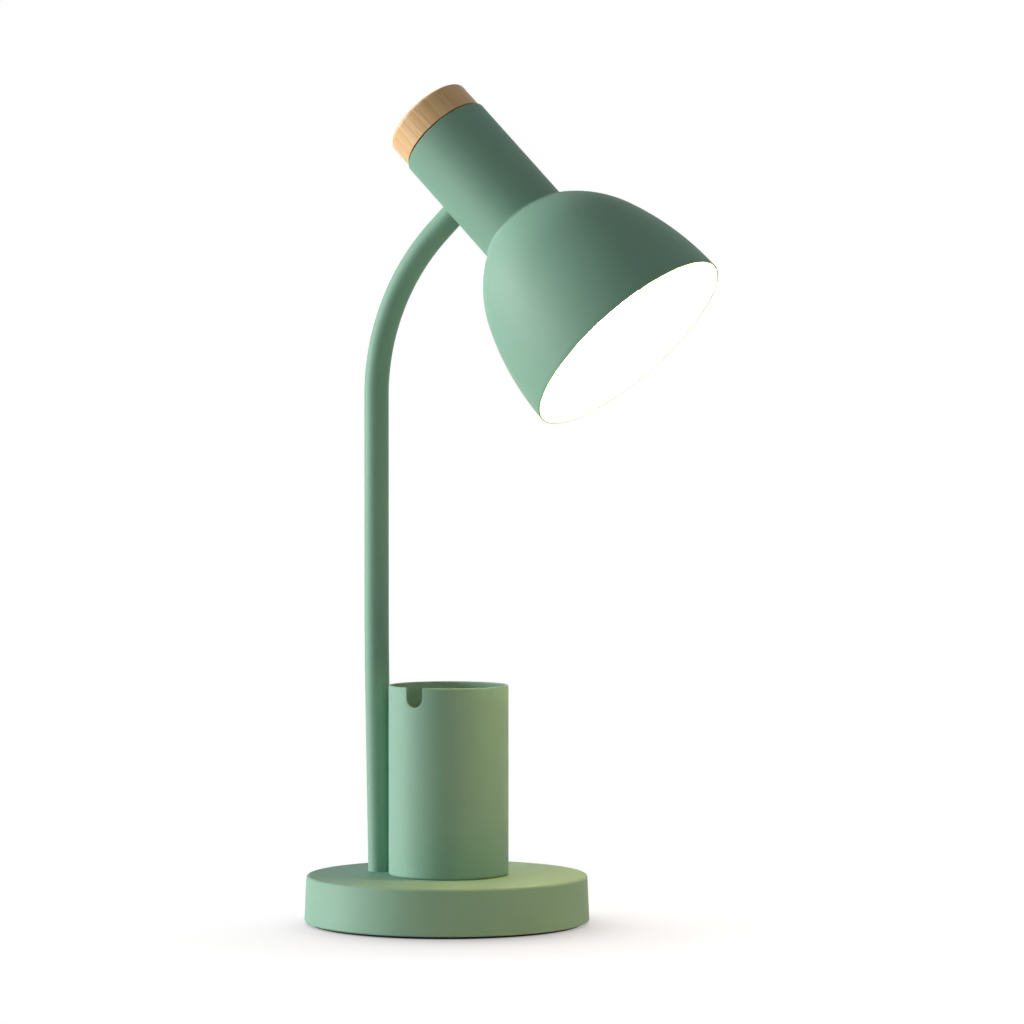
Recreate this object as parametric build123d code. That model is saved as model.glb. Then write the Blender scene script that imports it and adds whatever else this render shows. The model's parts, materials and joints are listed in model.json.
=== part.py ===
from build123d import *
import math
import os

# Desk lamp with a pen cup. Lengths in millimetres, angles in degrees.
# The origin is the middle of the footprint on the table, +Z is up and +X is the side the head faces.

# Base: pressed cover, bottom plate, soft pad and counterweight
base_diameter = 162.0
base_height = 27.7
base_draft = 1.2  # how far the side leans in on its way up
base_wall = 1.2
base_bend_radius = 0.4  # inside the bend at the top edge
base_hem_share = 0.85  # rounding of the lower edge, as a share of the wall
base_rim_lift = 1.5  # cover's lower rim above the table
pad_thickness = 2.5
pad_inset = 2.0
plate_thickness = 1.2
plate_play = 0.4
weight_thickness = 11.0
weight_play = 2.5
weight_flat_gap = 8.0  # room between the neck's nut and the flat at the weight's rear
base_screw_inset = 16.0  # screw circle, inwards from the weight's edge
base_screw_angles = (0.0, 100.0, -100.0)
base_screw_diameter = 4.0
base_screw_head_diameter = 7.0
base_screw_head_height = 1.6
standoff_diameter = 9.0
screw_play = 0.15  # radial room round every screw and nut thread
pad_hole_play = 1.5

# Cable inlet at the rear and the terminal block behind it
inlet_height = 12.0
cable_bore_diameter = 6.2
grommet_neck_diameter = 9.0
grommet_flange_diameter = 13.0
grommet_flange_thickness = 1.8
grommet_play = 0.45
terminal_length = 24.0
terminal_width = 16.0
terminal_height = 11.0
terminal_screw_diameter = 3.6
terminal_screw_height = 4.0

# Pen cup
cup_offset = 1.1  # from the middle of the base, towards the head
cup_diameter = 68.1
cup_height = 107.8
cup_wall = 1.2
cup_bend_radius = 0.4  # inside the bend at the foot
notch_width = 10.6
notch_depth = 11.2
notch_angle = -98.0
cup_screw_spacing = 24.0
cup_screw_diameter = 4.0
cup_screw_head_diameter = 7.4
cup_screw_head_height = 2.4
cup_screw_tail = 1.2
cup_nut_flats = 7.0
cup_nut_thickness = 3.2
cup_nut_room = 2.0

# Flexible neck: sleeve, steel core and inner lead, and the path they share
neck_diameter = 14.0
neck_gap = 2.7  # between neck and cup at the foot
sleeve_wall = 1.5
core_wall = 2.1
core_play = 0.1
lead_diameter = 5.4
neck_lean = 2.4  # the neck leans back by this much beside the cup
neck_lean_height = 125.0
neck_lean_radius = 2800.0
neck_stem_height = 326.9
neck_bend_radius = 129.4
neck_run = 68.3  # from the corner of the bend to the side of the head
joint_count = 7
first_joint_rise = 20.0
last_joint_drop = 18.0
joint_ball_share = 1.03  # ball at each link's end, as a share of the neck's radius
joint_gap = 0.3
seat_play = 0.1

# Threaded ends of the neck
thread_diameter = 9.8
thread_wall = 1.4
nut_flats = 14.0
foot_thread_length = 12.0
foot_nut_thickness = 4.0
head_thread_length = 9.0
head_nut_thickness = 5.0
base_lead_level = 4.3  # middle of the lead above the bottom plate
base_lead_run = 22.0
base_lead_radius = 5.8
lead_kink_radius = 280.0  # slight turn where the lead enters the leaning neck
head_lead_radius = 6.0
head_lead_depth = 10.0  # from the lead's turn to the middle of the head
head_lead_room = 14.5  # from the line of the neck to the lampholder's back

# Head: tube and bell shade, measured along the head's own axis from the knob's end
head_dip = 45.9  # how far the head looks down
tube_diameter = 54.4
tube_length = 70.6
tube_wall = 0.8
mouth_diameter = 128.3
shade_length = 93.0
shade_wall = 0.8
shade_root_shares = (0.033, 0.026)  # end of the small hollow curve under the tube: out, along
shade_shoulder_shares = (0.701, 0.374)  # end of the rounded shoulder: out, along

# Screw lampholder and its ring
holder_diameter = 34.0
holder_flange_diameter = 47.0
holder_flange_thickness = 3.0
holder_thread_diameter = 39.2
holder_back_length = 18.0
holder_skirt_length = 18.0
holder_floor = 11.0
holder_bore_diameter = 28.6
holder_play = 0.2
shell_wall = 0.5
shell_length = 20.0
contact_diameter = 8.0
contact_height = 2.3
ring_diameter = 49.0
ring_height = 6.0

# Screw-in bulb, measured from its contact
bulb_diameter = 55.0
bulb_length = 95.0
tip_diameter = 9.6
tip_height = 1.5
insulator_height = 3.5
insulator_diameter = 21.0
cap_diameter = 26.1
cap_length = 21.0
cap_wall = 0.5
thread_pitch = 3.6
thread_depth = 0.8
housing_diameter = 29.0
housing_height = 30.0
housing_collar = 3.0
housing_wall = 2.0
globe_wall = 1.2

# Rotary switch and wooden knob
switch_plate_inset = 1.2
switch_plate_thickness = 2.0
switch_diameter = 26.0
switch_length = 15.0
bushing_diameter = 9.0
bushing_rise = 4.0
switch_nut_flats = 12.0
switch_nut_thickness = 2.0
switch_wire_diameter = 1.8
switch_wire_spacing = 12.0
switch_wire_offset = 6.0
shaft_diameter = 6.0
shaft_depth = 8.0
shaft_rise = 12.0
shaft_play = 0.05
knob_gap = 1.1
knob_diameter = 52.4
knob_height = 16.5
knob_edge_radius = 2.4
knob_recess_diameter = 21.0
knob_recess_depth = 5.0

overrun = 20.0  # how far every cut runs past the face it opens

# Levels and radii that several pieces share
base_radius = base_diameter / 2
base_top_radius = base_radius - base_draft
cover_ceiling = base_height - base_wall
plate_top = pad_thickness + plate_thickness
plate_radius = base_radius - base_wall - plate_play
weight_top = plate_top + weight_thickness
weight_radius = plate_radius - weight_play
cup_radius = cup_diameter / 2
cup_floor = base_height + cup_wall
neck_radius = neck_diameter / 2
core_radius = neck_radius - sleeve_wall - core_play
core_bore_radius = core_radius - core_wall
lead_radius = lead_diameter / 2
thread_radius = thread_diameter / 2
thread_bore_radius = thread_radius - thread_wall
thread_hole_radius = thread_radius + screw_play
neck_x = cup_offset - cup_radius - neck_gap - neck_radius
tube_radius = tube_diameter / 2
tube_bore_radius = tube_radius - tube_wall
holder_hole_radius = holder_thread_diameter / 2 + holder_play
holder_seat = tube_length - tube_wall
holder_back = holder_seat - holder_flange_thickness - holder_back_length
holder_cavity = holder_back + holder_floor
bulb_seat = holder_cavity + contact_height
neck_entry = holder_back - head_lead_room
knob_radius = knob_diameter / 2
cup_screw_places = [(cup_offset, side * cup_screw_spacing / 2) for side in (-1, 1)]
base_screw_places = [
    (
        (weight_radius - base_screw_inset) * math.cos(math.radians(angle)),
        (weight_radius - base_screw_inset) * math.sin(math.radians(angle)),
    )
    for angle in base_screw_angles
]

# The neck's path lies in the plane y = 0: a slight lean back, a straight stem, a bend and a run to the head
run_direction = Vector(math.sin(math.radians(head_dip)), 0, math.cos(math.radians(head_dip)))
head_direction = Vector(math.cos(math.radians(head_dip)), 0, -math.sin(math.radians(head_dip)))
neck_foot = Vector(neck_x, 0, base_height)
neck_heel = Vector(neck_x - neck_lean, 0, base_height + neck_lean_height)
neck_corner = Vector(neck_x - neck_lean, 0, base_height + neck_stem_height)
head_side = neck_corner + run_direction * neck_run
head_origin = head_side + run_direction * tube_radius - head_direction * neck_entry
head_frame = Plane(origin=head_origin, x_dir=run_direction, z_dir=head_direction)
neck_start = neck_foot + (neck_foot - neck_heel).normalized() * overrun
neck_path = FilletPolyline(
    neck_start,
    neck_heel,
    neck_corner,
    head_side + run_direction * tube_radius,
    radius=[neck_lean_radius, neck_bend_radius],
)
neck_length = neck_path.length - overrun - tube_radius
neck_reach = neck_length + base_diameter


def spun(*points):
    """Solid turned about Z from a closed outline of (radius, height) points."""
    return revolve(Plane.XZ * make_face(Polyline(*points, close=True)), Axis.Z)


def ring(outer, inner, low, high):
    return spun((inner, low), (outer, low), (outer, high), (inner, high))


def rod(radius, low, high):
    return spun((0, low), (radius, low), (radius, high), (0, high))


def hexagon(flats, low, high):
    return Pos(0, 0, low) * extrude(RegularPolygon(flats / 2, 6, major_radius=False), high - low)


def at_places(piece, places):
    return [Pos(x, y, 0) * piece for x, y in places]


def group(solids):
    return Compound(children=list(solids))


def in_head(piece):
    """Put a piece made along the head's own axis in its place on the lamp."""
    return head_frame.location * piece


def along_neck(piece):
    """Lay a piece made along Z on the line by which the neck enters the head, z = 0 on the head's axis."""
    return in_head(Pos(0, 0, neck_entry) * Rot(0, 90, 0) * piece)


# Base

def wall_radius(height):
    """Outer radius of the base's leaning side at a height."""
    return base_radius - base_draft * (height - base_rim_lift) / (base_height - base_rim_lift)


def base_cover():
    rim_bore = base_radius - base_wall
    outside = FilletPolyline(
        (0, base_height),
        (base_top_radius, base_height),
        (base_radius, base_rim_lift),
        (rim_bore, base_rim_lift),
        radius=[base_bend_radius + base_wall, base_wall * base_hem_share],
    )
    inside = FilletPolyline(
        (rim_bore, base_rim_lift),
        (base_top_radius - base_wall, cover_ceiling),
        (0, cover_ceiling),
        radius=base_bend_radius,
    )
    cover = revolve(Plane.XZ * make_face(outside + inside + Line(inside @ 1, outside @ 0)), Axis.Z)
    neck_hole = Pos(neck_x, 0, 0) * rod(thread_hole_radius, cover_ceiling - overrun, base_height + overrun)
    screw_hole = rod(cup_screw_diameter / 2 + screw_play, cover_ceiling - overrun, base_height + overrun)
    inlet_hole = inlet(rod(grommet_neck_diameter / 2 + screw_play, -overrun, overrun))
    return cover - neck_hole - at_places(screw_hole, cup_screw_places) - inlet_hole


def base_plate():
    hole = rod(base_screw_diameter / 2 + screw_play, -overrun, plate_top + overrun)
    return rod(plate_radius, pad_thickness, plate_top) - at_places(hole, base_screw_places)


def foot_pad():
    hole = rod(base_screw_head_diameter / 2 + pad_hole_play, -overrun, pad_thickness + overrun)
    return rod(plate_radius - pad_inset, 0, pad_thickness) - at_places(hole, base_screw_places)


def base_weight():
    flat = neck_x + nut_flats / 2 + weight_flat_gap
    block = rod(weight_radius, plate_top, weight_top)
    rear = Pos(flat - base_radius, 0, weight_top) * Box(base_diameter, base_diameter, base_diameter)
    screw_hole = rod(base_screw_diameter / 2 + screw_play, -overrun, weight_top + overrun)
    nut_room = rod(cup_nut_flats / 2 + cup_nut_room, -overrun, weight_top + overrun)
    return block - rear - at_places(screw_hole, base_screw_places) - at_places(nut_room, cup_screw_places)


def base_standoffs():
    spacer = ring(standoff_diameter / 2, base_screw_diameter / 2 + screw_play, weight_top, cover_ceiling)
    return group(at_places(spacer, base_screw_places))


def base_screws():
    head = rod(base_screw_head_diameter / 2, pad_thickness - base_screw_head_height, pad_thickness)
    shank = rod(base_screw_diameter / 2, pad_thickness, cover_ceiling - screw_play)
    return group(at_places(head + shank, base_screw_places))


def inlet(piece):
    """Turn a piece made along Z to point out through the base's rear wall, z = 0 in mid-wall."""
    return Pos(-(wall_radius(inlet_height) - base_wall / 2), 0, inlet_height) * Rot(0, -90, 0) * piece


def cable_grommet():
    groove = base_wall / 2 + grommet_play
    edge = groove + grommet_flange_thickness
    bore = cable_bore_diameter / 2
    neck = grommet_neck_diameter / 2
    flange = grommet_flange_diameter / 2
    return inlet(spun(
        (bore, -edge), (flange, -edge), (flange, -groove), (neck, -groove),
        (neck, groove), (flange, groove), (flange, edge), (bore, edge),
    ))


def terminal_wells():
    spread_x = terminal_length / 4
    spread_y = terminal_width / 4
    middle_y = base_lead_run + terminal_width / 2
    return [
        (neck_x + side * spread_x, middle_y + end * spread_y)
        for side in (-1, 1)
        for end in (-1, 1)
    ]


def terminal_block():
    middle = Pos(neck_x, base_lead_run + terminal_width / 2, plate_top + terminal_height / 2)
    block = middle * Box(terminal_length, terminal_width, terminal_height)
    top = plate_top + terminal_height
    well = rod(terminal_screw_diameter / 2 + screw_play, top - terminal_screw_height, top + overrun)
    return block - at_places(well, terminal_wells())


def terminal_screws():
    top = plate_top + terminal_height
    screw = rod(terminal_screw_diameter / 2, top - terminal_screw_height, top - screw_play)
    return group(at_places(screw, terminal_wells()))


# Pen cup

def pen_cup():
    rim = base_height + cup_height - cup_wall / 2
    outside = FilletPolyline(
        (0, base_height), (cup_radius, base_height), (cup_radius, rim), radius=cup_bend_radius + cup_wall,
    )
    inside = FilletPolyline(
        (0, cup_floor),
        (cup_radius - cup_wall, cup_floor),
        (cup_radius - cup_wall, rim),
        radius=cup_bend_radius,
    )
    lip = ThreePointArc(outside @ 1, (cup_radius - cup_wall / 2, base_height + cup_height), inside @ 1)
    outline = outside + lip + inside + Line(inside @ 0, outside @ 0)
    cup = revolve(Plane.XZ * make_face(outline), Axis.Z)
    notch_middle = base_height + cup_height - notch_depth + notch_width / 2
    slot = extrude(Plane.YZ * Circle(notch_width / 2), cup_diameter)
    slot += Pos(cup_radius, 0, overrun / 2) * Box(cup_diameter, notch_width, overrun)
    notch = Rot(0, 0, notch_angle) * Pos(0, 0, notch_middle) * slot
    hole = rod(cup_screw_diameter / 2 + screw_play, base_height - overrun, cup_floor + overrun)
    return Pos(cup_offset, 0, 0) * (cup - notch) - at_places(hole, cup_screw_places)


def cup_screws():
    tail = cover_ceiling - cup_nut_thickness - cup_screw_tail
    head = rod(cup_screw_head_diameter / 2, cup_floor, cup_floor + cup_screw_head_height)
    shank = rod(cup_screw_diameter / 2, tail, cup_floor)
    return group(at_places(head + shank, cup_screw_places))


def cup_nuts():
    nut = hexagon(cup_nut_flats, cover_ceiling - cup_nut_thickness, cover_ceiling)
    hole = rod(cup_screw_diameter / 2 + screw_play, cover_ceiling - overrun, cover_ceiling + overrun)
    return group(at_places(nut - hole, cup_screw_places))


# Neck: each joint is a ball on the end of the lower link in a hollow end of the upper link

def along_path(distance):
    """Plane across the neck at a distance from the base's top, facing up the neck."""
    origin = neck_path.position_at(overrun + distance, position_mode=PositionMode.LENGTH)
    facing = neck_path.tangent_at(overrun + distance, position_mode=PositionMode.LENGTH)
    return Plane(origin=origin, x_dir=(0, 1, 0), z_dir=facing)


joint_pitch = (neck_length - first_joint_rise - last_joint_drop) / (joint_count - 1)
joint_planes = [along_path(first_joint_rise + joint_pitch * number) for number in range(joint_count)]
ball_radius = neck_radius * joint_ball_share


def half_space(plane, side):
    """Block on one side of a plane, large enough to take the rest of the neck: side 1 above it, -1 below."""
    return plane.location * Pos(0, 0, side * neck_reach / 2) * Box(neck_reach, neck_reach, neck_reach)


def neck_link(piece, number):
    """The stretch of a full-length neck piece between joint number - 1 and joint number."""
    if number > 0:
        hinge = joint_planes[number - 1]
        piece = piece - half_space(hinge, -1) - hinge.location * Sphere(ball_radius + joint_gap)
    if number < joint_count:
        hinge = joint_planes[number]
        piece = piece - (half_space(hinge, 1) - hinge.location * Sphere(ball_radius))
    return piece


def neck_pipe(outer, inner):
    """Full-length pipe along the neck, from the base's top to the side of the head."""
    section = Circle(outer) - Circle(inner)
    pipe = sweep(Plane(origin=neck_start, z_dir=neck_path % 0) * section, neck_path)
    below_base = half_space(Plane.XY.offset(base_height), -1)
    return pipe - below_base - in_head(rod(tube_radius + seat_play, -overrun, tube_length + overrun))


def full_lead():
    """Inner cable from the terminal block, up the neck, to the back of the lampholder."""
    level = plate_top + base_lead_level
    path = FilletPolyline(
        (neck_x, base_lead_run, level),
        (neck_x, 0, level),
        neck_foot,
        neck_heel,
        neck_corner,
        head_frame.from_local_coords(Vector(-head_lead_depth, 0, neck_entry)),
        head_frame.from_local_coords(Vector(-head_lead_depth, 0, holder_back)),
        radius=[base_lead_radius, lead_kink_radius, neck_lean_radius, neck_bend_radius, head_lead_radius],
    )
    return sweep(Plane(origin=path @ 0, z_dir=path % 0) * Circle(lead_radius), path)


def foot_ferrule(core):
    tail = ring(thread_radius, thread_bore_radius, base_height - foot_thread_length, base_height)
    return neck_link(core, 0) + Pos(neck_x, 0, 0) * tail


def foot_nut():
    nut = hexagon(nut_flats, cover_ceiling - foot_nut_thickness, cover_ceiling)
    hole = rod(thread_hole_radius, cover_ceiling - overrun, cover_ceiling + overrun)
    return Pos(neck_x, 0, 0) * (nut - hole)


def head_ferrule(core):
    tail_end = head_thread_length - tube_radius
    tail = ring(thread_radius, thread_bore_radius, -tube_radius - neck_radius, tail_end)
    return neck_link(core, joint_count) + along_neck(tail)


def head_nut():
    nut = hexagon(nut_flats, -tube_radius, head_nut_thickness - tube_bore_radius)
    hole = rod(thread_hole_radius, -tube_radius - overrun, tube_radius)
    seat = in_head(rod(tube_bore_radius - seat_play, 0, tube_length))
    return (along_neck(nut - hole)) & seat


# Head

def head_tube():
    tube = spun(
        (tube_bore_radius, 0),
        (tube_radius, 0),
        (tube_radius, tube_length),
        (holder_hole_radius, tube_length),
        (holder_hole_radius, holder_seat),
        (tube_bore_radius, holder_seat),
    )
    return in_head(tube) - along_neck(rod(thread_hole_radius, -tube_radius - overrun, -holder_diameter / 2))


def shade():
    flare = mouth_diameter / 2 - tube_radius

    def at_shares(out, along):
        return Vector(tube_radius + flare * out, shade_length * along)

    root = at_shares(0, 0)
    hollow_end = at_shares(*shade_root_shares)
    shoulder_end = at_shares(*shade_shoulder_shares)
    mouth = at_shares(1, 1)
    hollow = TangentArc(root, hollow_end, tangent=(0, 1))
    shoulder = TangentArc(hollow_end, shoulder_end, tangent=hollow % 1)
    skirt = TangentArc(shoulder_end, mouth, tangent=shoulder % 1)

    def inwards(point, tangent):
        return point + Vector(-tangent.Y, tangent.X) * shade_wall

    inner_root = inwards(hollow_end, hollow % 1)
    inner_shoulder_end = inwards(shoulder_end, shoulder % 1)
    inner_mouth = inwards(mouth, skirt % 1)
    inner_foot = Vector(tube_radius - shade_wall, shade_wall)
    inner_hollow = TangentArc(inner_foot, inner_root, tangent=(0, 1))
    inner_shoulder = TangentArc(inner_root, inner_shoulder_end, tangent=hollow % 1)
    inner_skirt = TangentArc(inner_shoulder_end, inner_mouth, tangent=shoulder % 1)
    outer_line = hollow + shoulder + skirt
    inner_line = inner_hollow + inner_shoulder + inner_skirt
    collar = Polyline(inner_foot, (holder_hole_radius, shade_wall), (holder_hole_radius, 0), root)
    outline = outer_line + Line(mouth, inner_mouth) + inner_line + collar
    bell = revolve(Plane.XZ * make_face(outline), Axis.Z)
    return in_head(Pos(0, 0, tube_length) * bell)


def lampholder():
    flange = holder_flange_diameter / 2
    flange_back = holder_seat - holder_flange_thickness
    thread = holder_thread_diameter / 2
    end = holder_seat + holder_skirt_length
    bore = holder_bore_diameter / 2
    back = holder_diameter / 2
    return in_head(spun(
        (0, holder_back), (back, holder_back), (back, flange_back), (flange, flange_back),
        (flange, holder_seat), (thread, holder_seat), (thread, end),
        (bore, end), (bore, holder_cavity), (0, holder_cavity),
    ))


def holder_shell():
    outer = holder_bore_diameter / 2 - seat_play
    low = bulb_seat + tip_height
    return in_head(ring(outer, outer - shell_wall, low, low + shell_length))


def holder_contact():
    return in_head(rod(contact_diameter / 2, holder_cavity, bulb_seat))


def shade_ring():
    low = tube_length + shade_wall
    return in_head(ring(ring_diameter / 2, holder_hole_radius, low, low + ring_height))


# Bulb, each piece made from the contact up and then set in the lampholder

insulator_top = tip_height + insulator_height
cap_top = insulator_top + cap_length
globe_foot = cap_top + housing_height
bulb_radius = bulb_diameter / 2


def in_holder(piece):
    return in_head(Pos(0, 0, bulb_seat) * piece)


def bulb_contact():
    return in_holder(rod(tip_diameter / 2, 0, tip_height))


def bulb_insulator():
    foot = tip_diameter / 2
    edge = insulator_diameter / 2
    return in_holder(spun((0, tip_height), (foot, tip_height), (edge, insulator_top), (0, insulator_top)))


def bulb_cap():
    crest = cap_diameter / 2
    valley = crest - thread_depth
    bore = valley - cap_wall
    turns = int(cap_length / thread_pitch)
    outline = [(bore, insulator_top), (valley, insulator_top)]
    for turn in range(turns):
        outline.append((crest, insulator_top + thread_pitch * (turn + 0.5)))
        outline.append((valley, insulator_top + thread_pitch * (turn + 1)))
    outline += [(valley, cap_top), (bore, cap_top)]
    return in_holder(spun(*outline))


def bulb_housing():
    spigot = cap_diameter / 2 - thread_depth - cap_wall - seat_play
    collar = housing_diameter / 2
    outline = [
        (0, insulator_top), (spigot, insulator_top), (spigot, cap_top), (collar, cap_top),
        (collar, cap_top + housing_collar), (bulb_radius, globe_foot), (0, globe_foot),
    ]
    cavity = [
        (0, insulator_top + housing_wall),
        (spigot - housing_wall, insulator_top + housing_wall),
        (spigot - housing_wall, cap_top + housing_collar),
        (bulb_radius - housing_wall, globe_foot - housing_wall),
        (0, globe_foot - housing_wall),
    ]
    return in_holder(spun(*outline) - spun(*cavity))


def bulb_globe():
    equator = bulb_length - bulb_radius

    def dome(radius):
        crown = CenterArc((0, equator), radius, 0, 90)
        sides = Polyline((0, equator + radius), (0, globe_foot), (radius, globe_foot), (radius, equator))
        return revolve(Plane.XZ * make_face(crown + sides), Axis.Z)

    return in_holder(dome(bulb_radius) - dome(bulb_radius - globe_wall))


# Switch and knob

switch_back = switch_plate_inset + switch_plate_thickness
shaft_bore_radius = shaft_diameter / 2 + shaft_play


def switch_plate():
    hole = bushing_diameter / 2 + screw_play
    return in_head(ring(tube_bore_radius - seat_play, hole, switch_plate_inset, switch_back))


def switch_body():
    can = rod(switch_diameter / 2, switch_back, switch_back + switch_length)
    bushing = rod(bushing_diameter / 2, switch_plate_inset - bushing_rise, switch_back)
    return in_head(can + bushing - rod(shaft_bore_radius, -overrun, shaft_depth + shaft_play))


def switch_nut():
    nut = hexagon(switch_nut_flats, switch_plate_inset - switch_nut_thickness, switch_plate_inset)
    return in_head(nut - rod(bushing_diameter / 2 + screw_play, -overrun, overrun))


def switch_leads():
    places = [(switch_wire_offset, side * switch_wire_spacing / 2) for side in (-1, 1)]
    wire = rod(switch_wire_diameter / 2, switch_back + switch_length, holder_back)
    return in_head(group(at_places(wire, places)))


def switch_shaft():
    return in_head(rod(shaft_diameter / 2, -shaft_rise, shaft_depth))


def knob():
    outer_end = -knob_gap - knob_height
    recess_end = -knob_gap - knob_recess_depth
    recess = knob_recess_diameter / 2
    bore_end = -shaft_rise - shaft_play
    body = FilletPolyline(
        (0, outer_end), (knob_radius, outer_end), (knob_radius, -knob_gap), radius=knob_edge_radius,
    )
    underside = Polyline(
        (knob_radius, -knob_gap), (recess, -knob_gap), (recess, recess_end), (shaft_bore_radius, recess_end),
        (shaft_bore_radius, bore_end), (0, bore_end), (0, outer_end),
    )
    return in_head(revolve(Plane.XZ * make_face(body + underside), Axis.Z))


# All pieces by name

sleeve = neck_pipe(neck_radius, neck_radius - sleeve_wall)
core = neck_pipe(core_radius, core_bore_radius)
lead = full_lead()

pieces = {
    "base_cover": base_cover(),
    "base_weight": base_weight(),
    "base_plate": base_plate(),
    "foot_pad": foot_pad(),
    "base_standoffs": base_standoffs(),
    "base_screws": base_screws(),
    "cable_grommet": cable_grommet(),
    "terminal_block": terminal_block(),
    "terminal_screws": terminal_screws(),
    "base_lead": neck_link(lead, 0),
    "pen_cup": pen_cup(),
    "cup_screws": cup_screws(),
    "cup_nuts": cup_nuts(),
    "foot_ferrule": foot_ferrule(core),
    "foot_nut": foot_nut(),
    "head_ferrule": head_ferrule(core),
    "head_nut": head_nut(),
    "head_lead": neck_link(lead, joint_count),
    "head_tube": head_tube(),
    "shade": shade(),
    "shade_ring": shade_ring(),
    "lampholder": lampholder(),
    "holder_shell": holder_shell(),
    "holder_contact": holder_contact(),
    "bulb_contact": bulb_contact(),
    "bulb_insulator": bulb_insulator(),
    "bulb_cap": bulb_cap(),
    "bulb_housing": bulb_housing(),
    "bulb_globe": bulb_globe(),
    "switch_plate": switch_plate(),
    "switch_body": switch_body(),
    "switch_nut": switch_nut(),
    "switch_leads": switch_leads(),
    "switch_shaft": switch_shaft(),
    "knob": knob(),
}
for number in range(joint_count + 1):
    pieces[f"neck_sleeve_{number}"] = neck_link(sleeve, number)
for number in range(1, joint_count):
    pieces[f"neck_core_{number}"] = neck_link(core, number)
    pieces[f"neck_lead_{number}"] = neck_link(lead, number)

os.makedirs("parts", exist_ok=True)
for name, piece in pieces.items():
    export_step(piece, f"parts/{name}.step")

for number, plane in enumerate(joint_planes, start=1):
    place = [round(value, 3) for value in plane.origin]
    facing = [round(value, 5) for value in plane.z_dir]
    print(f"neck joint {number}: centre {place}, facing {facing}")
print("head origin", [round(value, 3) for value in head_origin])
print("head direction", [round(value, 5) for value in head_direction])
print("inlet face", round(-(wall_radius(inlet_height) + grommet_play + grommet_flange_thickness), 3))
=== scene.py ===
import bpy
import bmesh
import json
import math
from mathutils import Matrix, Vector

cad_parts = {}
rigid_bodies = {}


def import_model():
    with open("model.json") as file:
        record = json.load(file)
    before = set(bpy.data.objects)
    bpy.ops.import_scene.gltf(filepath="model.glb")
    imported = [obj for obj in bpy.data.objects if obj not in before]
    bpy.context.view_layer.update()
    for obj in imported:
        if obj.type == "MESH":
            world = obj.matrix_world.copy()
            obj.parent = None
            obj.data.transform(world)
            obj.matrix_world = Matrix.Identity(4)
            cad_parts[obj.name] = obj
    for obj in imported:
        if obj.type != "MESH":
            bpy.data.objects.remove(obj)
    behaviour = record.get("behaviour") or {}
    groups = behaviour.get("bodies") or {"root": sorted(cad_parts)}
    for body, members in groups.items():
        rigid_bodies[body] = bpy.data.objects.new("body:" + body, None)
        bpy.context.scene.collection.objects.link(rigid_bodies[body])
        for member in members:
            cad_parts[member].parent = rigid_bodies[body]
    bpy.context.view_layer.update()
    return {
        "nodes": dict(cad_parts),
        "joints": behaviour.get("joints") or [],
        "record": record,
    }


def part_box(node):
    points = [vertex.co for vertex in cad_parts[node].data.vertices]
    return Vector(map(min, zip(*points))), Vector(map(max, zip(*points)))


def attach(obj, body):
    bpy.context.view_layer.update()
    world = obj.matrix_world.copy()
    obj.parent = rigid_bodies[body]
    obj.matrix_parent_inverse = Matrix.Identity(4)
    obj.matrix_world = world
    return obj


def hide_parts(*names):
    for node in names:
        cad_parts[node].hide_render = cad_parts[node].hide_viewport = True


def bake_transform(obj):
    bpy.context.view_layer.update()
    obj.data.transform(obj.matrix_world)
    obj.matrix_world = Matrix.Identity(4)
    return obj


# Desk lamp with a pen cup: sage powder coat, soft neck, beech switch knob. Sizes below are in millimetres.

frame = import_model()
scene = bpy.context.scene
mm = 0.001
joints = {joint["name"]: joint for joint in frame["joints"]}
print("frame loaded with", len(frame["nodes"]), "nodes")


def linearColour(hexText):
    channels = [int(hexText[place:place + 2], 16) / 255 for place in (1, 3, 5)]
    return [c / 12.92 if c <= 0.04045 else ((c + 0.055) / 1.055) ** 2.4 for c in channels] + [1.0]


def addNode(tree, kind, inputs=None, **settings):
    node = tree.nodes.new(kind)
    for name, value in settings.items():
        setattr(node, name, value)
    for name, value in (inputs or {}).items():
        if isinstance(value, bpy.types.NodeSocket):
            tree.links.new(value, node.inputs[name])
        else:
            node.inputs[name].default_value = value
    return node


def startMaterial(name):
    material = bpy.data.materials.new(name)
    material.use_nodes = True
    material.node_tree.nodes.clear()
    return material, material.node_tree


def closeMaterial(tree, shader):
    addNode(tree, "ShaderNodeOutputMaterial", {"Surface": shader.outputs[0]})


# Finishes. A pattern's size in mm becomes a texture scale of 1000 / size.

noiseSpread = {"From Min": 0.3, "From Max": 0.7}  # most values of a noise texture lie between these

coatSettings = {"colour": "#86B29B", "tint": "#7FA993", "roughness": 0.62, "roughnessSwing": 0.04,
                "gloss": 0.45, "ior": 1.48, "peelSize": 1.6, "peelDepth": 0.03, "peelStrength": 0.35,
                "mottleSize": 42.0}


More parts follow.
